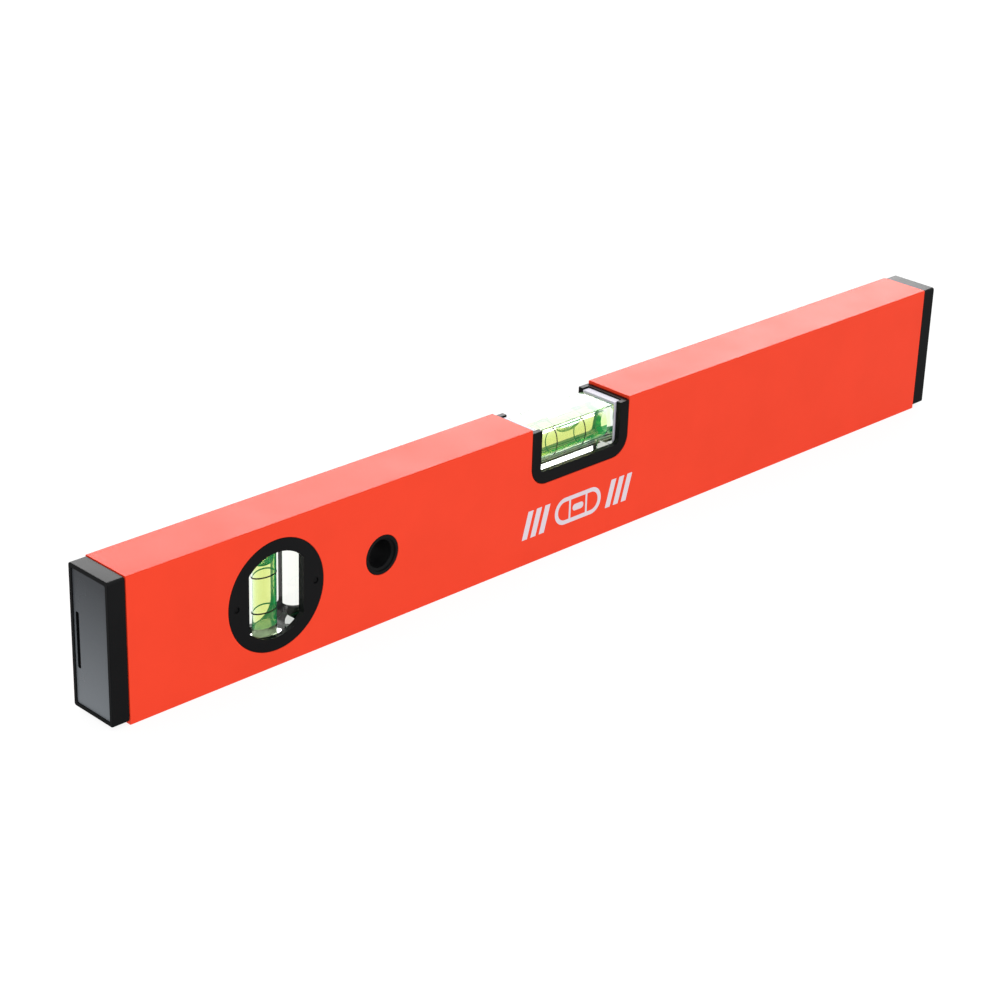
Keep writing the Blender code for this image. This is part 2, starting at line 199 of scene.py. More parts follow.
def middle(node: str) -> Vector:
    """The middle of a node's box in the frame."""
    low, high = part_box(node)
    return (low + high) / 2


class Facing(Enum):
    """How a flat outline lies: the axes its width, height and thickness run along."""

    FRONT = ((1, 0, 0), (0, 0, 1), (0, 1, 0))
    END = ((0, 1, 0), (0, 0, 1), (1, 0, 0))

    def matrix(self) -> Matrix:
        """The matrix that lays an outline drawn in x and y this way."""
        return Matrix(self.value).transposed().to_4x4()


class Turning(Enum):
    """The axis a turned shape stands on, as the rotation that lays local Z along it."""

    LENGTH = Matrix.Rotation(pi / 2, 4, "Y")
    FRONT = Matrix.Rotation(pi / 2, 4, "X")
    REAR = Matrix.Rotation(-pi / 2, 4, "X")
    UPRIGHT = Matrix.Identity(4)


# ------------------------------------------------------------------------------------------ forms


class Form:
    """A closed mesh that is being worked, in metres in the level's own frame."""

    def __init__(self, name: str, mesh: bpy.types.Mesh) -> None:
        """Takes over a mesh, merges its doubles and turns its faces outwards.

        Args:
            name: The name of the piece it becomes.
            mesh: The mesh to work.
        """
        self.name = name
        self.mesh = mesh
        self.tidy()

    def tidy(self) -> None:
        """Merges doubled points, drops faces with no area and turns the rest outwards."""
        bm = bmesh.new()
        bm.from_mesh(self.mesh)
        bmesh.ops.remove_doubles(bm, verts=bm.verts, dist=WELD)
        bmesh.ops.dissolve_degenerate(bm, edges=bm.edges, dist=WELD * 0.4)
        bmesh.ops.recalc_face_normals(bm, faces=bm.faces)
        bm.to_mesh(self.mesh)
        bm.free()

    @classmethod
    def prism(
        cls, name: str, outlines: Sequence[Sequence[Point]], span: Point, facing: Facing
    ) -> "Form":
        """A flat outline with a thickness.

        Args:
            name: The form's name.
            outlines: The closed outline, then those of its holes.
            span: Where the thickness starts and ends.
            facing: How the outline lies.

        Returns:
            The prism.
        """
        curve = bpy.data.curves.new(name, "CURVE")
        curve.dimensions = "2D"
        curve.fill_mode = "BOTH"
        curve.extrude = (span[1] - span[0]) / 2
        for outline in outlines:
            spline = curve.splines.new("POLY")
            spline.points.add(len(outline) - 1)
            for point, (x, y) in zip(spline.points, outline):
                point.co = (x, y, 0, 1)
            spline.use_cyclic_u = True
        mesh = evaluated(name, curve)
        mesh.transform(Matrix.Translation((0, 0, (span[0] + span[1]) / 2)))
        mesh.transform(facing.matrix())
        return cls(name, mesh)

    @classmethod
    def block(cls, name: str, low: Sequence[float], high: Sequence[float]) -> "Form":
        """A box from its lowest to its highest corner."""
        outline = ((low[0], low[2]), (high[0], low[2]), (high[0], high[2]), (low[0], high[2]))
        return cls.prism(name, (outline,), (low[1], high[1]), Facing.FRONT)

    @classmethod
    def turned(
        cls, name: str, profile: Sequence[Point], centre: Sequence[float], turning: Turning, steps: int = 96
    ) -> "Form":
        """A turned shape.

        Args:
            name: The form's name.
            profile: Points of radius and height, closed or from axis to axis.
            centre: Where the profile's zero height is.
            turning: The axis that it turns on.
            steps: How many sides the shape has.

        Returns:
            The turned form.
        """
        bm = bmesh.new()
        points = [bm.verts.new((radius, 0, height)) for radius, height in profile]
        loop = points + points[:1] if min(radius for radius, _ in profile) > 0 else points
        edges = [bm.edges.new(pair) for pair in zip(loop, loop[1:])]
        bmesh.ops.spin(bm, geom=points + edges, cent=(0, 0, 0), axis=(0, 0, 1), angle=2 * pi, steps=steps)
        mesh = bpy.data.meshes.new(name)
        bm.to_mesh(mesh)
        bm.free()
        mesh.transform(Matrix.Translation(centre) @ turning.value)
        return cls(name, mesh)

    @classmethod
    def rod(
        cls, name: str, radius: float, span: Point, centre: Sequence[float], turning: Turning
    ) -> "Form":
        """A cylinder between two heights on its axis."""
        low, high = span
        return cls.turned(name, ((0, high), (radius, high), (radius, low), (0, low)), centre, turning)

    def moved(self, matrix: Matrix) -> "Form":
        """Moves or turns the form, and keeps its faces outwards.

        Args:
            matrix: The move or turn.

        Returns:
            This form.
        """
        self.mesh.transform(matrix)
        self.tidy()
        return self

    def boolean(self, others: Sequence["Form"], operation: str) -> "Form":
        """Cuts, joins or trims the form with others, which are used up.

        Args:
            others: The forms to work with.
            operation: DIFFERENCE, UNION or INTERSECT.

        Returns:
            This form.
        """
        obj = placed(self.name, self.mesh)
        tools = [placed(other.name, other.mesh) for other in others]
        for tool in tools:
            step = obj.modifiers.new(operation, "BOOLEAN")
            step.operation = operation
            step.object = tool
        self.mesh = baked(obj)
        for tool in tools:
            bpy.data.objects.remove(tool)
        self.tidy()
        return self

    def cut(self, *others: "Form") -> "Form":
        """Takes other forms out of this one."""
        return self.boolean(others, "DIFFERENCE")

    def join(self, *others: "Form") -> "Form":
        """Adds other forms to this one."""
        return self.boolean(others, "UNION")

    def trim(self, *others: "Form") -> "Form":
        """Keeps only what lies inside the other forms too."""
        return self.boolean(others, "INTERSECT")

    def soften(self, width: float, segments: int = 2) -> "Form":
        """Breaks every sharp edge, as a mould, a file or a coat of paint does.

        Args:
            width: How far the rounding reaches from the edge.
            segments: How many faces the rounding has.

        Returns:
            This form.
        """
        bm = bmesh.new()
        bm.from_mesh(self.mesh)
        bmesh.ops.dissolve_limit(bm, angle_limit=radians(0.5), verts=bm.verts, edges=bm.edges)
        bm.to_mesh(self.mesh)
        bm.free()
        obj = placed(self.name, self.mesh)
        rounding = obj.modifiers.new("rounding", "BEVEL")
        rounding.width = width
        rounding.segments = segments
        rounding.limit_method = "ANGLE"
        rounding.angle_limit = radians(40)
        rounding.miter_outer = "MITER_ARC"
        self.mesh = baked(obj)
        return self

    def piece(
        self,
        finish: bpy.types.Material,
        slot: str,
        body: str = "level",
        replaces: Sequence[str] = (),
        sharp: float = 50.0,
    ) -> bpy.types.Object:
        """Makes the form a piece of the level, dressed and riding on its body.

        Args:
            finish: The piece's material, unless its mesh has some already.
            slot: The record's material slot; not used.
            body: The body that the piece moves with.
            replaces: The frame's nodes that it stands for.
            sharp: The angle in degrees from which an edge is shaded as sharp.

        Returns:
            The finished object.
        """
        self.mesh.name = self.name
        if not self.mesh.materials:
            self.mesh.materials.append(finish)
        self.mesh.shade_smooth()
        self.mesh.set_sharp_from_angle(angle=radians(sharp))
        obj = placed(self.name, self.mesh)
        weighted = obj.modifiers.new("weighted", "WEIGHTED_NORMAL")
        weighted.keep_sharp = True
        mesh = baked(obj)
        mesh.name = self.name
        obj = placed(self.name, mesh)
        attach(obj, body)
        if replaces:
            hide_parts(*replaces)
        LOG.info("%s: %d faces, for %s", self.name, len(mesh.polygons), ", ".join(replaces) or "looks")
        return obj


def evaluated(name: str, data: bpy.types.ID) -> bpy.types.Mesh:
    """Turns a curve into the mesh that it draws.

    Args:
        name: The name of the object that draws it.
        data: The curve, which is used up.

    Returns:
        The mesh.
    """
    mesh = baked(placed(name, data))
    bpy.data.curves.remove(data)
    mesh.materials.clear()
    return mesh


def baked(obj: bpy.types.Object) -> bpy.types.Mesh:
    """Turns an object and its modifiers into a plain mesh.

    Args:
        obj: The object, which is removed.

    Returns:
        The mesh that its modifiers made.
    """
    graph = bpy.context.evaluated_depsgraph_get()
    mesh = bpy.data.meshes.new_from_object(obj.evaluated_get(graph), depsgraph=graph)
    obj.modifiers.clear()
    bpy.data.objects.remove(obj)
    return mesh


# --------------------------------------------------------------------------------- geometry nodes


class NodeTool:
    """A Geometry Nodes tree with named sizes, run once for each piece it makes."""

    def __init__(self, name: str, sizes: Sequence[str], counts: Sequence[str] = ()) -> None:
        """Starts the tree and its inputs.

        Args:
            name: The tree's name.
            sizes: Names of the inputs that are lengths.
            counts: Names of the inputs that are whole numbers.
        """
        self.tree = bpy.data.node_groups.new(name, "GeometryNodeTree")
        sides = self.tree.interface
        for label, kind in [(s, "NodeSocketFloat") for s in sizes] + [(c, "NodeSocketInt") for c in counts]:
            sides.new_socket(label, in_out="INPUT", socket_type=kind)
        sides.new_socket("Finish", in_out="INPUT", socket_type="NodeSocketMaterial")
        sides.new_socket("Geometry", in_out="OUTPUT", socket_type="NodeSocketGeometry")
        self.given = add_node(self.tree, "NodeGroupInput")

    def add(self, kind: str, inputs: Inputs | None = None, **settings: object) -> bpy.types.Node:
        """Adds a geometry node; its kind is given without the common prefix."""
        return add_node(self.tree, "GeometryNode" + kind, inputs, **settings)

    def size(self, name: str) -> Socket:
        """The socket that gives one of the tree's own inputs."""
        return self.given.outputs[name]

    def sum(self, first: object, second: object, operation: str = "ADD") -> Socket:
        """The socket of a sum, a difference or a product of two sizes."""
        node = add_node(self.tree, "ShaderNodeMath", {0: first, 1: second}, operation=operation)
        return node.outputs[0]

    def vector(self, x: object = 0.0, y: object = 0.0, z: object = 0.0) -> Socket:
        """The socket of a vector made of three sizes."""
        return add_node(self.tree, "ShaderNodeCombineXYZ", {"X": x, "Y": y, "Z": z}).outputs[0]

    def solid(self, outline: Socket, length: Socket) -> Socket:
        """Fills an outline and gives it a length.

        Args:
            outline: The socket of the closed curve, drawn in x and y.
            length: How far the solid reaches along z.

        Returns:
            The socket of the closed solid.
        """
        face = self.add("FillCurve", {"Curve": outline}, mode="NGONS").outputs[0]
        walls = self.add("ExtrudeMesh", {"Mesh": face, "Offset Scale": length})
        joined = self.add("JoinGeometry")
        for part in (self.add("FlipFaces", {"Mesh": face}), walls):
            self.tree.links.new(part.outputs[0], joined.inputs[0])
        return joined.outputs[0]

    def close(self, geometry: Socket) -> None:
        """Realizes what the tree made, gives it its finish and ends the tree.

        Args:
            geometry: The socket of what the tree made.
        """
        real = self.add("RealizeInstances", {"Geometry": geometry})
        dressed = self.add("SetMaterial", {"Geometry": real.outputs[0], "Material": self.size("Finish")})
        add_node(self.tree, "NodeGroupOutput", {"Geometry": dressed.outputs[0]})

    def make(self, name: str, finish: bpy.types.Material, **values: float) -> Form:
        """Runs the tree.

        Args:
            name: The name of the form that it makes.
            finish: The form's material.
            values: The tree's inputs, with _ for a space in a name.

        Returns:
            The plain mesh as a form.
        """
        obj = placed(name, bpy.data.meshes.new(name))
        modifier = obj.modifiers.new(name, "NODES")
        modifier.node_group = self.tree
        given = {key.replace("_", " "): value for key, value in values.items()} | {"Finish": finish}
        for item in self.tree.interface.items_tree:
            if item.in_out == "INPUT":
                modifier[item.identifier] = given[item.name]
        return Form(name, baked(obj))


def profile_tool() -> NodeTool:
    """Makes the tree of a box profile with two round holes and a notch in its upper edge.

    Returns:
        The tree, closed.
    """
    tool = NodeTool(
        "box_profile",
        (
            "Length", "Thickness", "Height", "Wall", "Edge Radius", "First Hole", "First Radius",
            "Second Hole", "Second Radius", "Hole Height", "Notch Centre", "Notch Width", "Notch Floor",
            "Notch Radius",
        ),
    )
    size, total = tool.size, tool.sum

    def bar(width: Socket, height: Socket, radius: Socket, length: Socket, steps: int) -> Socket:
        """A filled bar of rounded rectangular section, along Z.

        Args:
            width: The section's size along x.
            height: The section's size along y.
            radius: The radius of the section's corners.
            length: The bar's length.
            steps: How many chords each corner has.

        Returns:
            The socket of the bar, whose middle is at the origin.
        """
        outline = tool.add("CurvePrimitiveQuadrilateral", {"Width": width, "Height": height})
        rounded = tool.add(
            "FilletCurve", {"Curve": outline.outputs[0], "Radius": radius, "Count": steps}, mode="POLY"
        )
        solid = tool.solid(rounded.outputs[0], length)
        merged = tool.add("MergeByDistance", {"Geometry": solid, "Distance": WELD})
        half = total(length, -0.5, "MULTIPLY")
        centred = {"Geometry": merged.outputs[0], "Translation": tool.vector(z=half)}
        return tool.add("Transform", centred).outputs[0]

    def laid(geometry: Socket, rotation: Sequence[float], place: Socket) -> Socket:
        """The geometry turned, then moved to its place."""
        settings = {"Geometry": geometry, "Rotation": rotation, "Translation": place}
        return tool.add("Transform", settings).outputs[0]

    twice_wall = total(size("Wall"), 2.0, "MULTIPLY")
    mid = total(size("Height"), 0.5, "MULTIPLY")
    inside_width = total(size("Thickness"), twice_wall, "SUBTRACT")
    inside_height = total(size("Height"), twice_wall, "SUBTRACT")
    long = total(size("Length"), 2.0, "MULTIPLY")
    deep = total(size("Thickness"), 3.0, "MULTIPLY")
    along = (pi / 2, 0, pi / 2)
    across = (pi / 2, 0, 0)

    outer = bar(size("Thickness"), size("Height"), size("Edge Radius"), size("Length"), 6)
    inner_radius = total(size("Edge Radius"), 0.5, "MULTIPLY")
    inner = bar(inside_width, inside_height, inner_radius, long, 3)
    cutters = [laid(inner, along, tool.vector(z=mid))]
    for hole in ("First", "Second"):
        disc = tool.add("MeshCylinder", {"Vertices": 128, "Radius": size(f"{hole} Radius"), "Depth": deep})
        place = tool.vector(x=size(f"{hole} Hole"), z=size("Hole Height"))
        cutters.append(laid(disc.outputs[0], across, place))
    notch = bar(size("Notch Width"), size("Height"), size("Notch Radius"), deep, 12)
    notch_place = tool.vector(x=size("Notch Centre"), z=total(size("Notch Floor"), mid))
    cutters.append(laid(notch, across, notch_place))

    cut = tool.add("MeshBoolean", {"Mesh 1": laid(outer, along, tool.vector(z=mid))}, operation="DIFFERENCE")
    for cutter in cutters:
        tool.tree.links.new(cutter, cut.inputs["Mesh 2"])
    tool.close(cut.outputs["Mesh"])
    return tool


def reading_line_tool() -> NodeTool:
    """Makes the tree of evenly spaced bands round a vial, upright on Z.

    Returns:
        The tree, closed.
    """
    tool = NodeTool("reading_lines", ("Radius", "Depth", "Width", "Spacing"), ("Count",))
    path = tool.add("CurvePrimitiveCircle", {"Resolution": 128, "Radius": tool.size("Radius")})
    sides = {"Width": tool.size("Depth"), "Height": tool.size("Width")}
    section = tool.add("CurvePrimitiveQuadrilateral", sides)
    band = tool.add("CurveToMesh", {"Curve": path.outputs[0], "Profile Curve": section.outputs[0]})
    step = tool.vector(z=tool.size("Spacing"))
    places = tool.add("MeshLine", {"Count": tool.size("Count"), "Offset": step})
    bands = tool.add("InstanceOnPoints", {"Points": places.outputs[0], "Instance": band.outputs[0]})
    tool.close(bands.outputs[0])
    return tool


def bar_row_tool() -> NodeTool:
    """Makes the tree of a row of leaning bars, drawn in x and z with their thickness along y.

    Returns:
        The tree, closed.
    """
    tool = NodeTool("bar_row", ("Pitch", "Width", "Height", "Lean", "Thickness"), ("Count",))
    size = tool.size
    half_height = tool.sum(size("Height"), 0.5, "MULTIPLY")
    half_width = tool.sum(size("Width"), 0.5, "MULTIPLY")
    half_lean = tool.sum(size("Lean"), 0.5, "MULTIPLY")

    def corner(x_sign: float, z_sign: float) -> Socket:
        """One corner of the bar's outline, leaned over by its height.

        Args:
            x_sign: -1 for the left side, 1 for the right one.
            z_sign: -1 for the lower edge, 1 for the upper one.

        Returns:
            The socket of the corner's place.
        """
        side = tool.sum(half_width, x_sign, "MULTIPLY")
        lean = tool.sum(half_lean, z_sign, "MULTIPLY")
        return tool.vector(x=tool.sum(side, lean), y=tool.sum(half_height, z_sign, "MULTIPLY"))

    outline = tool.add("CurvePrimitiveQuadrilateral", mode="POINTS")
    for i, signs in enumerate(((-1.0, -1.0), (1.0, -1.0), (1.0, 1.0), (-1.0, 1.0))):
        tool.tree.links.new(corner(*signs), outline.inputs[f"Point {i + 1}"])
    solid = tool.solid(outline.outputs[0], size("Thickness"))
    upright = tool.add("Transform", {"Geometry": solid, "Rotation": (pi / 2, 0, 0)})
    places = tool.add("MeshLine", {"Count": size("Count"), "Offset": tool.vector(x=size("Pitch"))})
    bars = tool.add("InstanceOnPoints", {"Points": places.outputs[0], "Instance": upright.outputs[0]})
    tool.close(bars.outputs[0])
    return tool


# --------------------------------------------------------------------------------------- finishes


@dataclass(frozen=True)
class Finish:
    """What one real material is called, and what every material has."""

    name: str
    colour: str
    roughness: float
    ior: float = 1.5
    specular: float = 0.5

    def start(self) -> tuple[bpy.types.Material, bpy.types.NodeTree, bpy.types.Node]:
        """Starts the material.

        Returns:
            The material, its tree and its shader, with colour, roughness and IOR set.
        """
        material = bpy.data.materials.new(self.name)
        material.use_nodes = True
        tree = material.node_tree
        shader = next(node for node in tree.nodes if node.type == "BSDF_PRINCIPLED")
        shader.inputs["Base Color"].default_value = linear(self.colour)
        shader.inputs["Roughness"].default_value = self.roughness
        shader.inputs["IOR"].default_value = self.ior
        shader.inputs["Specular IOR Level"].default_value = self.specular
        return material, tree, shader


@dataclass(frozen=True)
class Skin(Finish):
    """An opaque surface with a fine relief, a slow drift of tone, a drift of gloss and, if asked, a painted
    reflection that lightens its colour towards the table.
    """

    grain: float = 0.35 * MM
    relief: float = 0.004 * MM
    drift: float = 18 * MM
    tone: float = 0.03
    gloss: float = 0.04
    painted_reflection: str = ""  # painted reflection: a lighter colour near the table, painted in by height
    painted_reflection_low: float = 3 * MM  # the height up to which the painted reflection is whole
    painted_reflection_top: float = 46 * MM  # the height from which there is none of it

    def material(self) -> bpy.types.Material:
        """Builds the material on Object coordinates.

        Returns:
            The material.
        """
        material, tree, shader = self.start()
        place = add_node(tree, "ShaderNodeTexCoord").outputs["Object"]
        slow = add_node(tree, "ShaderNodeTexNoise", {"Vector": place, "Scale": 1 / self.drift, "Detail": 3.0})
        fine = add_node(tree, "ShaderNodeTexNoise", {"Vector": place, "Scale": 1 / self.grain, "Detail": 2.0})
        red, green, blue, _ = linear(self.colour)
        tones = add_node(tree, "ShaderNodeValToRGB", {"Fac": slow.outputs["Fac"]})
        for stop, side in zip(tones.color_ramp.elements, (1 - self.tone, 1 + self.tone)):
            stop.color = (red * side, green * side, blue * side, 1)
        for stop, place_on_ramp in zip(tones.color_ramp.elements, NOISE_SPAN):
            stop.position = place_on_ramp
        colour = tones.outputs["Color"]
        # painted reflection: the colour is mixed towards a lighter tone nearer the table, by height
        if self.painted_reflection:
            height = add_node(tree, "ShaderNodeSeparateXYZ", {"Vector": place}).outputs["Z"]
            painted_reflection_share = spread(tree, height, (self.painted_reflection_top, self.painted_reflection_low))
            ends = {0: painted_reflection_share, 6: colour, 7: linear(self.painted_reflection)}
            colour = add_node(tree, "ShaderNodeMix", ends, data_type="RGBA").outputs[2]
        tree.links.new(colour, shader.inputs["Base Color"])
        gloss = (self.roughness - self.gloss, self.roughness + self.gloss)
        tree.links.new(spread(tree, slow.outputs["Fac"], NOISE_SPAN, gloss), shader.inputs["Roughness"])
        relief = {"Height": fine.outputs["Fac"], "Strength": 1.0, "Distance": self.relief}
        bump = add_node(tree, "ShaderNodeBump", relief)
        tree.links.new(bump.outputs["Normal"], shader.inputs["Normal"])
        return material


@dataclass(frozen=True)
class Clear(Finish):
    """A clear solid, liquid or gas. Its IOR is the ratio to what surrounds it.

    A dyed liquid takes colour out over its depth, and glows faintly where the dye fluoresces.
    """

    dye: str = "FFFFFF"
    depth: float = 0.0
    glow: str = "000000"
    glow_strength: float = 0.0

    def material(self) -> bpy.types.Material:
        """Builds the material, whose dye takes its colour out of white over the depth.

        Returns:
            The material.
        """
        material, tree, shader = self.start()
        shader.inputs["Transmission Weight"].default_value = 1.0
        if self.glow_strength:
            shader.inputs["Emission Color"].default_value = linear(self.glow)
            shader.inputs["Emission Strength"].default_value = self.glow_strength
        if self.depth:
            loss = {"Color": linear(self.dye), "Density": 1 / self.depth}
            volume = add_node(tree, "ShaderNodeVolumeAbsorption", loss)
            output = next(node for node in tree.nodes if node.type == "OUTPUT_MATERIAL")
            tree.links.new(volume.outputs[0], output.inputs["Volume"])
        return material


# Polyester powder coat, sprayed and baked on the aluminium: an even red with a faint orange peel.
RED_COAT = Skin(
    "red powder coat", "F94427", 0.38, specular=0.1, grain=0.5 * MM, relief=0.004 * MM, tone=0.02
)
# ABS from a spark-eroded mould: nearly black, matt, with a fine grain.
BLACK_ABS = Skin(
    "black abs, moulded", "131415", 0.4, specular=0.12, grain=0.3 * MM, relief=0.006 * MM, tone=0.08
)
# ABS from a polished part of the mould: the cap's end panel, which mirrors the table. Its grey colour,
# lighter towards the table, is a painted reflection of the table.
POLISHED_ABS_PAINTED_REFLECTION = Skin(
    "black abs, polished, painted reflection", "44474B", 0.25, specular=0.3, grain=0.6 * MM, relief=0.001 * MM, tone=0.05,
    painted_reflection="7A7F84",
)
# High-impact polystyrene, moulded: a soft cold white.
WHITE_PS = Skin(
    "white polystyrene", "DEDCE8", 0.45, specular=0.2, grain=0.3 * MM, relief=0.002 * MM, tone=0.01
)
# Screen-printing ink on the powder coat: thin, flat and slightly matt.
WHITE_INK = Skin(
    "white screen print", "E3D8E0", 0.5, specular=0.2, grain=0.25 * MM, relief=0.003 * MM, tone=0.02
)
# Enamel fired on the vial's wall for the reading lines.
LINE_ENAMEL = Skin(
    "reading line enamel", "0C100A", 0.4, specular=0.1, grain=0.2 * MM, relief=0.001 * MM, tone=0.05
)
# Cast acrylic, machined and polished: clear with a breath of green.
ACRYLIC = Clear("cast acrylic", "FBFFFA", 0.0, ior=1.49)
# Acrylic from a saw cut, glued into the bore: frosted, seen from inside the block.
FROSTED = Clear("frosted acrylic plug", "7F8A74", 0.55, ior=1.06)
# Mineral spirit with a fluorescent yellow-green dye, seen from inside the acrylic.
LIQUID = Clear(
    "dyed mineral spirit", "FFFFFF", 0.0, ior=0.906, dye="E7E138", depth=7 * MM,
    glow="068248", glow_strength=0.4,
)
# Air and spirit vapour, seen from inside the liquid.
AIR = Clear("air bubble", "FFFFFF", 0.0, ior=0.741)


class Finishes:
    """The materials of the level, each made once."""

    def __init__(self) -> None:
        """Builds every material."""
        self.red_coat = RED_COAT.material()
        self.black_abs = BLACK_ABS.material()
        self.polished_abs_painted_reflection = POLISHED_ABS_PAINTED_REFLECTION.material()
        self.white_ps = WHITE_PS.material()
        self.white_ink = WHITE_INK.material()
        self.line_enamel = LINE_ENAMEL.material()
        self.acrylic = ACRYLIC.material()
        self.frosted = FROSTED.material()
        self.liquid = LIQUID.material()
        self.air = AIR.material()


# ---------------------------------------------------------------------------------- sub-assemblies


@dataclass
class SubAssembly:
    """One sub-assembly of the level, with its sizes as fields."""

    finishes: Finishes

    def build(self) -> None:
        """Builds the sub-assembly's pieces."""
        raise NotImplementedError


@dataclass
class Profile(SubAssembly):
    """The powder-coated aluminium box profile and its cut-outs."""

    wall: float = 1.2 * MM
    edge_radius: float = 0.35 * MM
    coat: float = 0.015 * MM  # the print stands this far out, and reaches the frame's own face
    notch_width: float = 47.7 * MM
    notch_floor: float = 28.55 * MM
    edge_break: float = 0.1 * MM

    def build(self) -> None:
        """Builds the profile."""
        low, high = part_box("body_profile")
        plumb = middle("plumb_bezel_front")
        hang = middle("hang_bush_front")
        form = profile_tool().make(
            "aluminium_profile",
            self.finishes.red_coat,
            Length=high.x - low.x,
            Thickness=high.y - low.y - 2 * self.coat,
            Height=high.z - low.z,
            Wall=self.wall,
            Edge_Radius=self.edge_radius,
            First_Hole=plumb.x,
            First_Radius=PLUMB_HOLE,
            Second_Hole=hang.x,
            Second_Radius=HANG_HOLE,
            Hole_Height=plumb.z,
            Notch_Centre=middle("centre_cradle").x,
            Notch_Width=self.notch_width,
            Notch_Floor=self.notch_floor,
            Notch_Radius=NOTCH_RADIUS,
        )
        form.soften(self.edge_break)
        form.piece(self.finishes.red_coat, "red_powder_coat", replaces=("body_profile",))


@dataclass
class EndCap(SubAssembly):
    """A moulded cap whose hollow boss is pressed into the end of the profile."""

    node: str
    side: int  # -1 at the end nearer the plumb vial, 1 at the other
    corner: float = 0.9 * MM
    rounding: float = 0.35 * MM
    flange: float = 6.35 * MM
    wall: float = 2.0 * MM
    boss_half: float = 8.35 * MM
    boss_low: float = 1.65 * MM
    boss_high: float = 48.35 * MM
    panel_inset: float = 1.35 * MM
    panel_depth: float = 0.5 * MM
    slot_offset: float = 6.8 * MM
    slot_width: float = 1.6 * MM
    slot_low: float = 14.9 * MM
    slot_high: float = 34.0 * MM
    slot_corner: float = 0.5 * MM
    boss_corner: float = 1.0 * MM
    panel_corner: float = 0.6 * MM
    pocket_shift: float = 1.2 * MM  # the pocket reaches behind the slot
    edge_break: float = 0.12 * MM
    panel_search: float = 0.02 * MM  # faces this near the panel's floor get the polished finish with its painted reflection

    def outline(self, inset: float, radius: float) -> list[Point]:
        """The cap's outline in y and z.

        Args:
            inset: How far it is drawn in from the cap's edge.
            radius: The corners' radius.

        Returns:
            The outline's points, in order.
        """
        low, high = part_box(self.node)
        half = high.y - inset
        return rounded_rectangle((-half, low.z + inset), (half, high.z - inset), radius)

    def build(self) -> None:
        """Builds the cap as for the left end, and turns it round for the right one."""
        low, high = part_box(self.node)
        end = -max(abs(low.x), abs(high.x))
        boss_end = end + (high.x - low.x)
        seat = end + self.flange
        form = Form.prism(self.node + "_fine", (self.outline(0, self.corner),), (end, seat), Facing.END)
        form.soften(self.rounding, 4)
        boss_outline = rounded_rectangle(
            (-self.boss_half, self.boss_low), (self.boss_half, self.boss_high), self.boss_corner
        )
        boss = Form.prism("boss", (boss_outline,), (seat - self.wall, boss_end), Facing.END)
        form.join(boss)
        inner = self.boss_half - self.wall
        pocket = Form.block(
            "pocket",
            (end + self.wall + self.panel_depth, -inner, self.boss_low + self.wall),
            (boss_end + MM, inner + self.pocket_shift, self.boss_high - self.wall),
        )
        panel_outline = self.outline(self.panel_inset, self.panel_corner)
        panel = Form.prism("panel", (panel_outline,), (end - MM, end + self.panel_depth), Facing.END)
        slot_outline = rounded_rectangle(
            (self.slot_offset - self.slot_width / 2, self.slot_low),
            (self.slot_offset + self.slot_width / 2, self.slot_high),
            self.slot_corner,
        )
        slot = Form.prism("slot", (slot_outline,), (end - MM, end + 2 * self.wall + MM), Facing.END)
        form.cut(pocket, panel, slot)
        form.soften(self.edge_break)
        if self.side > 0:
            form.moved(Matrix.Rotation(pi, 4, "Z"))
        mesh = form.mesh
        mesh.materials.clear()
        # the panel's floor gets the polished finish, whose grey colour is a painted reflection of the table
        mesh.materials.append(self.finishes.black_abs)
        mesh.materials.append(self.finishes.polished_abs_painted_reflection)
        floor = abs(end) - self.panel_depth
        for face in mesh.polygons:
            if abs(abs(face.center.x) - floor) < self.panel_search and abs(face.normal.x) > 0.9:
                face.material_index = 1
        form.piece(self.finishes.black_abs, "black_plastic", replaces=(self.node,))


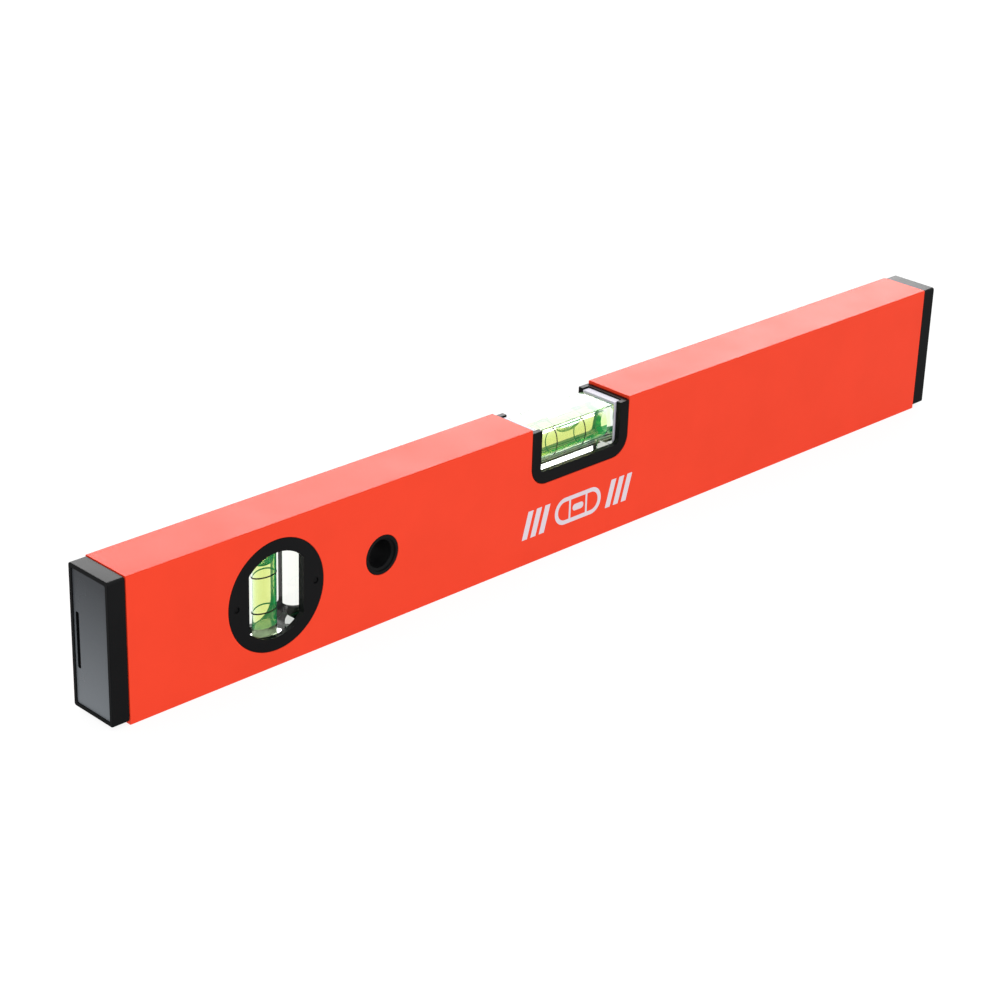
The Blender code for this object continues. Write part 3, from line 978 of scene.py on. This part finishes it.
@dataclass
class Cradle(SubAssembly):
    """The black U-shaped cradle in the notch, and the white tray that lies in it."""

    front_window: Point = (-19.75 * MM, 18.85 * MM)
    rear_window: Point = (-19.2 * MM, 18.4 * MM)
    front_sill: float = 33.2 * MM
    rear_sill: float = 34.0 * MM
    window_radius: float = 1.6 * MM
    pocket: Point = (-22.05 * MM, 21.4 * MM)
    pocket_floor: float = 30.6 * MM
    lip: float = 2.0 * MM
    tray_floor: float = 0.85 * MM
    room: Point = (-19.95 * MM, 18.25 * MM)
    rail_rise: float = 0.75 * MM
    rail_height: float = 0.4 * MM
    rail_inset: float = 0.5 * MM
    rail_gap: float = 0.04 * MM
    rail_depth: float = 0.14 * MM
    rounding: float = 0.3 * MM
    tray_edge: float = 0.12 * MM
    clearance: float = 5.0 * MM  # how far the cutters reach above the cradle

    def build(self) -> None:
        """Builds the cradle and its tray."""
        low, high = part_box("centre_cradle")
        above = high.z + self.clearance
        outline = open_slot((low.x, high.x), low.z, high.z, NOTCH_RADIUS)
        form = Form.prism("cradle", (outline,), (low.y, high.y), Facing.FRONT)
        pocket = Form.block(
            "pocket",
            (self.pocket[0], low.y + self.lip, self.pocket_floor),
            (self.pocket[1], high.y - self.lip, above),
        )
        form.cut(pocket)
        windows = (
            (self.front_window, self.front_sill, (low.y - MM, 0.0)),
            (self.rear_window, self.rear_sill, (0.0, high.y + MM)),
        )
        for sides, sill, span in windows:
            outline = open_slot(sides, sill, above, self.window_radius)
            form.cut(Form.prism("window", (outline,), span, Facing.FRONT))
        form.soften(self.rounding, 3)
        form.piece(self.finishes.black_abs, "black_plastic", replaces=("centre_cradle",))
        self.build_tray(above)

    def build_tray(self, above: float) -> None:
        """Builds the tray that lies in the cradle, and the thin rail behind the vial's block.

        Args:
            above: A height above everything in the notch, for the cutter.
        """
        low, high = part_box("centre_backing_tray")
        tray = Form.block("backing_tray", low, high)
        room = Form.block(
            "room", (self.room[0], low.y - MM, low.z + self.tray_floor), (self.room[1], high.y + MM, above)
        )
        tray.cut(room)
        block_low, block_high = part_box("centre_vial_block")
        rail_low = block_low.z + self.rail_rise
        rail_front = block_high.y + self.rail_gap
        rail = Form.block(
            "backing_rail",
            (low.x + self.rail_inset, rail_front, rail_low),
            (high.x - self.rail_inset, rail_front + self.rail_depth, rail_low + self.rail_height),
        )
        rail.piece(self.finishes.white_ps, "white_plastic")
        tray.soften(self.tray_edge)
        tray.piece(self.finishes.white_ps, "white_plastic", replaces=("centre_backing_tray",))


@dataclass
class Vial(SubAssembly):
    """What both vials have: liquid in a bore, and two reading lines round it."""

    radius: float = 4.9 * MM
    line_depth: float = 0.08 * MM
    line_width: float = 0.45 * MM

    def build_lines(self, name: str, nodes: tuple[str, str], turning: Turning) -> None:
        """Builds the two reading lines round the bore.

        Args:
            name: The piece's name.
            nodes: The frame's nodes of the two lines, in order along the vial.
            turning: How the vial lies.
        """
        first, second = (middle(node) for node in nodes)
        lines = reading_line_tool().make(
            name,
            self.finishes.line_enamel,
            Radius=self.radius + self.line_depth,
            Depth=self.line_depth,
            Width=self.line_width,
            Spacing=(second - first).length,
            Count=2,
        )
        lines.moved(Matrix.Translation(first) @ turning.value)
        lines.piece(self.finishes.line_enamel, "reading_line", replaces=nodes)


@dataclass
class CentreVial(Vial):
    """The bored acrylic block that lies in the cradle, its liquid, lines and bubble."""

    cavity: Point = (-17.2 * MM, 16.3 * MM)
    chamfer: float = 0.4 * MM
    film: float = 0.06 * MM  # liquid between the bubble and the wall
    bubble_rim: float = 0.3 * MM  # the rounding where the bubble meets the wall

    def build(self) -> None:
        """Builds the block, the liquid, the reading lines and the bubble."""
        low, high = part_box("centre_vial_block")
        axis = (0, 0, middle("centre_ring_left").z)
        block = Form.block("centre_block", low, high)
        block.soften(self.chamfer, 1)
        nodes = ("centre_vial_block", "centre_vial_plug")
        block.piece(self.finishes.acrylic, "clear_acrylic", replaces=nodes)
        liquid = Form.rod("centre_liquid", self.radius, self.cavity, axis, Turning.LENGTH)
        liquid.piece(self.finishes.liquid, "vial_liquid", replaces=("centre_fluid",))
        rings = ("centre_ring_left", "centre_ring_right")
        self.build_lines("centre_reading_lines", rings, Turning.LENGTH)
        self.build_bubble(axis)

    def build_bubble(self, axis: Sequence[float]) -> None:
        """Builds the bubble: a long lens under the highest line of the vial's wall.

        Args:
            axis: A point on the vial's axis.
        """
        low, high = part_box("centre_bubble")
        wall = self.radius - self.film
        mesh = bpy.data.meshes.new("centre_bubble_fine")
        bm = bmesh.new()
        bmesh.ops.create_uvsphere(bm, u_segments=64, v_segments=48, radius=1)
        bm.to_mesh(mesh)
        bm.free()
        depth = axis[2] + wall - low.z
        size = Matrix.Diagonal(((high.x - low.x) / 2, (high.y - low.y) / 2, depth, 1))
        centre = Vector(((low.x + high.x) / 2, 0, axis[2] + wall))
        mesh.transform(Matrix.Translation(centre) @ size)
        lens = Form("centre_bubble_fine", mesh)
        lens.trim(Form.rod("wall", wall, (low.x - MM, high.x + MM), axis, Turning.LENGTH))
        lens.soften(self.bubble_rim, 3)
        lens.piece(self.finishes.air, "air_bubble", "centre_bubble", ("centre_bubble",))


@dataclass
class PlumbHousing(SubAssembly):
    """The two round housing halves with their windows, and the pins that hold them."""

    skirt: float = 1.3 * MM
    depth: float = 2.05 * MM
    window: float = 14.8 * MM
    window_half: float = 11.0 * MM
    pin_offset: float = 15.95 * MM
    pin_radius: float = 0.95 * MM
    edge_break: float = 0.15 * MM
    pin_edge: float = 0.2 * MM

    def outline(self) -> list[Point]:
        """The window: a circle that is cut off by two upright sides.

        Returns:
            The outline's points, in order.
        """
        centre = middle("plumb_bezel_front")
        edge = acos(self.window_half / self.window) * 180 / pi
        round_centre = (centre.x, centre.z)
        upper = arc(round_centre, self.window, edge, 180 - edge, 32)
        return upper + arc(round_centre, self.window, 180 + edge, 360 - edge, 32)

    def build(self) -> None:
        """Builds both halves and the pins."""
        for name, turning in (("front", Turning.FRONT), ("rear", Turning.REAR)):
            node = f"plumb_bezel_{name}"
            low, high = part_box(node)
            face = max(abs(low.y), abs(high.y))
            centre = middle(node)
            outer = PLUMB_HOLE - FIT
            skirt = outer - self.skirt
            profile = (
                (0, face), (outer, face), (outer, FIT), (skirt, FIT),
                (skirt, face - self.depth), (0, face - self.depth),
            )
            form = Form.turned(f"plumb_housing_{name}", profile, (centre.x, 0, centre.z), turning, 128)
            through = (-2 * face, 2 * face)
            cutters = [Form.prism("window", (self.outline(),), through, Facing.FRONT)]
            for side in (-1, 1):
                place = (centre.x + side * self.pin_offset, 0, centre.z)
                radius = self.pin_radius + FIT
                cutters.append(Form.rod(f"hole_{side}", radius, through, place, Turning.FRONT))
            form.cut(*cutters)
            form.soften(self.edge_break)
            form.piece(self.finishes.black_abs, "black_plastic", replaces=(node,))
        for side in ("left", "right"):
            node = f"plumb_pin_{side}"
            low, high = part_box(node)
            centre = middle(node)
            place = (centre.x, 0, centre.z)
            radius = (high.x - low.x) / 2
            pin = Form.rod(f"housing_pin_{side}", radius, (low.y, high.y), place, Turning.FRONT)
            pin.soften(self.pin_edge)
            pin.piece(self.finishes.black_abs, "black_plastic", replaces=(node,))


@dataclass
class PlumbVial(Vial):
    """The upright bored acrylic block, its liquid, plug, lines and bubble."""

    shoulder: float = 13.6 * MM
    end_half: float = 7.4 * MM
    radius: float = 4.72 * MM
    line_width: float = 0.5 * MM
    cavity: Point = (-12.8 * MM, 13.2 * MM)
    plug_top: float = -12.95 * MM
    edge_break: float = 0.1 * MM
    bubble_round: float = 1.8 * MM
    bubble_growth: float = 0.3 * MM  # the real bubble fills more of the bore than the frame's one

    def build(self) -> None:
        """Builds the block, the liquid, the reading lines and the bubble."""
        low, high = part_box("plumb_vial_block")
        x, z = middle("plumb_bezel_front").x, middle("plumb_bezel_front").z
        outline = (
            (high.x, z + self.shoulder), (x + self.end_half, high.z), (x - self.end_half, high.z),
            (low.x, z + self.shoulder), (low.x, z - self.shoulder), (x - self.end_half, low.z),
            (x + self.end_half, low.z), (high.x, z - self.shoulder),
        )
        block = Form.prism("plumb_block", (outline,), (low.y, high.y), Facing.FRONT)
        block.soften(self.edge_break)
        block.piece(self.finishes.acrylic, "clear_acrylic", replaces=("plumb_vial_block",))
        plug_span = (low.z - z + 2 * self.edge_break, self.plug_top)
        plug = Form.rod("plumb_plug", self.radius, plug_span, (x, 0, z), Turning.UPRIGHT)
        plug.piece(self.finishes.frosted, "clear_acrylic", replaces=("plumb_vial_plug",))
        liquid = Form.rod("plumb_liquid", self.radius, self.cavity, (x, 0, z), Turning.UPRIGHT)
        liquid.piece(self.finishes.liquid, "vial_liquid", replaces=("plumb_fluid",))
        rings = ("plumb_ring_lower", "plumb_ring_upper")
        self.build_lines("plumb_reading_lines", rings, Turning.UPRIGHT)
        self.build_bubble()

    def build_bubble(self) -> None:
        """Builds the bubble, a flat-topped drop of air at the upper end of the liquid."""
        low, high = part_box("plumb_bubble")
        radius = (high.x - low.x) / 2 + self.bubble_growth
        half = (high.z - low.z) / 2
        turn = self.bubble_round
        flank = arc((radius - turn, half - turn), turn, 90, 0, 16)
        profile = [(0, half)] + flank + [(r, -h) for r, h in reversed(flank)] + [(0, -half)]
        bubble = Form.turned("plumb_bubble_fine", profile, middle("plumb_bubble"), Turning.UPRIGHT)
        bubble.piece(self.finishes.air, "air_bubble", "plumb_bubble", ("plumb_bubble",))


@dataclass
class HangBush(SubAssembly):
    """The two moulded halves that line the hang hole."""

    bore: float = 4.9 * MM
    wall: float = 1.2 * MM
    mouth: float = 0.9 * MM  # how much wider the bore is at the face
    ridge: float = 0.5 * MM  # the snap ridge that holds the half behind the profile's wall
    ridge_slope: float = 0.2 * MM
    sleeve_start: float = 2.0 * MM  # how far behind the wall the straight sleeve starts
    sleeve: float = 0.4 * MM  # how much thinner the sleeve is behind the ridge
    edge_break: float = 0.12 * MM

    def build(self) -> None:
        """Builds both halves."""
        outer = HANG_HOLE - FIT
        inner = outer - self.sleeve
        for name, turning in (("front", Turning.FRONT), ("rear", Turning.REAR)):
            node = f"hang_bush_{name}"
            low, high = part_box(node)
            face = max(abs(low.y), abs(high.y))
            behind = face - self.wall - FIT
            mouth = self.bore + self.mouth
            profile = (
                (mouth, face), (outer, face), (outer, behind),
                (outer + self.ridge, behind - self.ridge_slope),
                (inner, behind - self.sleeve_start), (inner, FIT), (self.bore, FIT),
                (self.bore, face - self.wall), (mouth, face - self.mouth),
            )
            centre = middle(node)
            form = Form.turned(f"hang_bush_{name}_fine", profile, (centre.x, 0, centre.z), turning)
            form.soften(self.edge_break)
            form.piece(self.finishes.black_abs, "black_plastic", replaces=(node,))


@dataclass
class FacePrint(SubAssembly):
    """The white pictogram on the front: a vial with its bubble, between rows of leaning bars."""

    centre: Point = (-0.5 * MM, 15.0 * MM)
    thickness: float = 0.015 * MM
    vial_width: float = 23.0 * MM
    vial_height: float = 10.2 * MM
    stroke: float = 1.6 * MM
    line_offset: float = 4.1 * MM
    line_width: float = 0.9 * MM
    bubble_width: float = 5.4 * MM
    bubble_height: float = 2.5 * MM
    bar_width: float = 2.5 * MM
    bar_pitch: float = 4.1 * MM
    bar_count: int = 3
    bar_lean: float = 2.8 * MM
    bar_gap: float = 2.4 * MM
    roundness: float = 0.98  # corner radius to half height of the round-ended shapes

    def round_ended(self, half_width: float, half_height: float, steps: int) -> list[Point]:
        """The outline of a round-ended shape in the middle of the print.

        Args:
            half_width: Half its size along x.
            half_height: Half its size along z.
            steps: How many chords each corner has.

        Returns:
            The outline's points, in order.
        """
        x, z = self.centre
        low, high = (x - half_width, z - half_height), (x + half_width, z + half_height)
        return rounded_rectangle(low, high, half_height * self.roundness, steps)

    def build(self) -> None:
        """Builds the vial drawing and both rows of bars."""
        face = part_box("body_profile")[0].y
        span = (face, face + self.thickness)
        x, z = self.centre
        half_width, half_height = self.vial_width / 2, self.vial_height / 2
        inner_height = half_height - self.stroke
        rim = self.round_ended(half_width, half_height, 16)
        hole = self.round_ended(half_width - self.stroke, inner_height, 16)
        forms = [Form.prism("print_vial", (rim, hole), span, Facing.FRONT)]
        for i, sign in enumerate((-1, 1)):
            left = x + sign * self.line_offset - self.line_width / 2
            low = (left, span[0], z - inner_height)
            high = (left + self.line_width, span[1], z + inner_height)
            forms.append(Form.block(f"print_line_{i}", low, high))
        bubble = self.round_ended(self.bubble_width / 2, self.bubble_height / 2, 10)
        forms.append(Form.prism("print_bubble", (bubble,), span, Facing.FRONT))
        for form in forms:
            form.piece(self.finishes.white_ink, "white_plastic")
        tool = bar_row_tool()
        reach = (self.bar_count - 1) * self.bar_pitch
        near = half_width + self.bar_gap + self.bar_width / 2 + self.bar_lean / 2
        for name, start in (("left", x - near - reach), ("right", x + near)):
            row = tool.make(
                f"print_bars_{name}",
                self.finishes.white_ink,
                Pitch=self.bar_pitch,
                Width=self.bar_width,
                Height=self.vial_height,
                Lean=self.bar_lean,
                Thickness=self.thickness,
                Count=self.bar_count,
            )
            row.moved(Matrix.Translation((start, face + self.thickness, z)))
            row.piece(self.finishes.white_ink, "white_plastic")


# ----------------------------------------------------------------------------------------- studio


@dataclass(frozen=True)
class Panel:
    """One light panel of the tent, which faces the level."""

    name: str
    place: Place
    width: float
    height: float
    power: float

    def hang(self) -> None:
        """Hangs the panel."""
        light = bpy.data.lights.new(self.name, "AREA")
        light.shape = "RECTANGLE"
        light.size = self.width
        light.size_y = self.height
        light.energy = self.power
        obj = placed(self.name, light)
        obj.location = self.place
        obj.rotation_euler = Vector(self.place).to_track_quat("Z", "Y").to_euler()


@dataclass
class Studio:
    """The white table, the light tent and the camera."""

    lens: float = 89.79
    place: Place = (-0.579863, -0.549234, 0.378117)
    heading: Place = (0.643924, 0.642122, -0.415982)
    roll: float = 1.913
    table: float = 12.0
    sky: float = 0.7
    bounces: int = 24  # light crosses many faces inside the vials
    table_glow: float = 0.9
    table_glare: float = 0.12  # the table's glow in mirrored rays only: a painted shade that darkens the table where the level reflects it
    panels: tuple[Panel, ...] = (
        Panel("overhead", (0.0, 0.0, 1.8), 1.8, 1.8, 4.0),
        Panel("behind", (1.3, 1.5, 0.75), 2.4, 1.2, 50.0),
        Panel("front", (-0.9, -1.6, 1.1), 1.2, 0.9, 6.0),
    )

    def build(self) -> None:
        """Sets up table, lights, camera and colour handling."""
        self.build_table()
        self.build_lights()
        self.build_camera()
        scene = bpy.context.scene
        scene.view_settings.view_transform = "Standard"
        scene.cycles.max_bounces = scene.cycles.transmission_bounces = self.bounces
        LOG.info("studio: table, light tent and camera")

    def build_table(self) -> None:
        """Lays the table: matt white acrylic that is lit from below.

        Reflections in the level see less of its glow than the eye does, or than rays through the vials.
        """
        half = self.table / 2
        mesh = bpy.data.meshes.new("table")
        corners = ((-half, -half, 0), (half, -half, 0), (half, half, 0), (-half, half, 0))
        mesh.from_pydata(corners, (), ((0, 1, 2, 3),))
        material = bpy.data.materials.new("white table")
        material.use_nodes = True
        tree = material.node_tree
        shader = tree.nodes["Principled BSDF"]
        shader.inputs["Base Color"].default_value = linear("707070")
        shader.inputs["Roughness"].default_value = 0.9
        shader.inputs["Specular IOR Level"].default_value = 0.0
        shader.inputs["Emission Color"].default_value = linear("FFFFFF")
        ray = add_node(tree, "ShaderNodeLightPath").outputs
        both = {0: ray["Is Glossy Ray"], 1: ray["Is Reflection Ray"]}
        mirrored = add_node(tree, "ShaderNodeMath", both, operation="MULTIPLY").outputs[0]
        glow = spread(tree, mirrored, (0.0, 1.0), (self.table_glow, self.table_glare))
        tree.links.new(glow, shader.inputs["Emission Strength"])
        mesh.materials.append(material)
        table = placed("table", mesh)

    def build_lights(self) -> None:
        """Hangs the panels of the tent: overhead, behind and at the camera's left."""
        world = bpy.data.worlds.new("tent")
        world.use_nodes = True
        background = next(n for n in world.node_tree.nodes if n.type == "BACKGROUND")
        background.inputs["Color"].default_value = linear("FFFFFF")
        background.inputs["Strength"].default_value = self.sky
        bpy.context.scene.world = world
        for panel in self.panels:
            panel.hang()

    def build_camera(self) -> None:
        """Places the camera."""
        camera = bpy.data.cameras.new("camera")
        camera.lens = self.lens
        camera.clip_start = 0.01
        obj = placed("camera", camera)
        turn = Vector(self.heading).to_track_quat("-Z", "Y").to_matrix().to_4x4()
        roll = Matrix.Rotation(radians(self.roll), 4, "Z")
        obj.matrix_world = Matrix.Translation(self.place) @ turn @ roll
        bpy.context.scene.camera = obj


def main() -> None:
    """Builds the level's sub-assemblies in order, then the studio."""
    logging.basicConfig(level=logging.INFO, format="%(name)s %(message)s")
    finishes = Finishes()
    assemblies = (
        Profile(finishes),
        EndCap(finishes, "end_cap_left", -1),
        EndCap(finishes, "end_cap_right", 1),
        Cradle(finishes),
        CentreVial(finishes),
        PlumbHousing(finishes),
        PlumbVial(finishes),
        HangBush(finishes),
        FacePrint(finishes),
    )
    for assembly in assemblies:
        assembly.build()
    Studio().build()


if __name__ == "__main__":
    main()
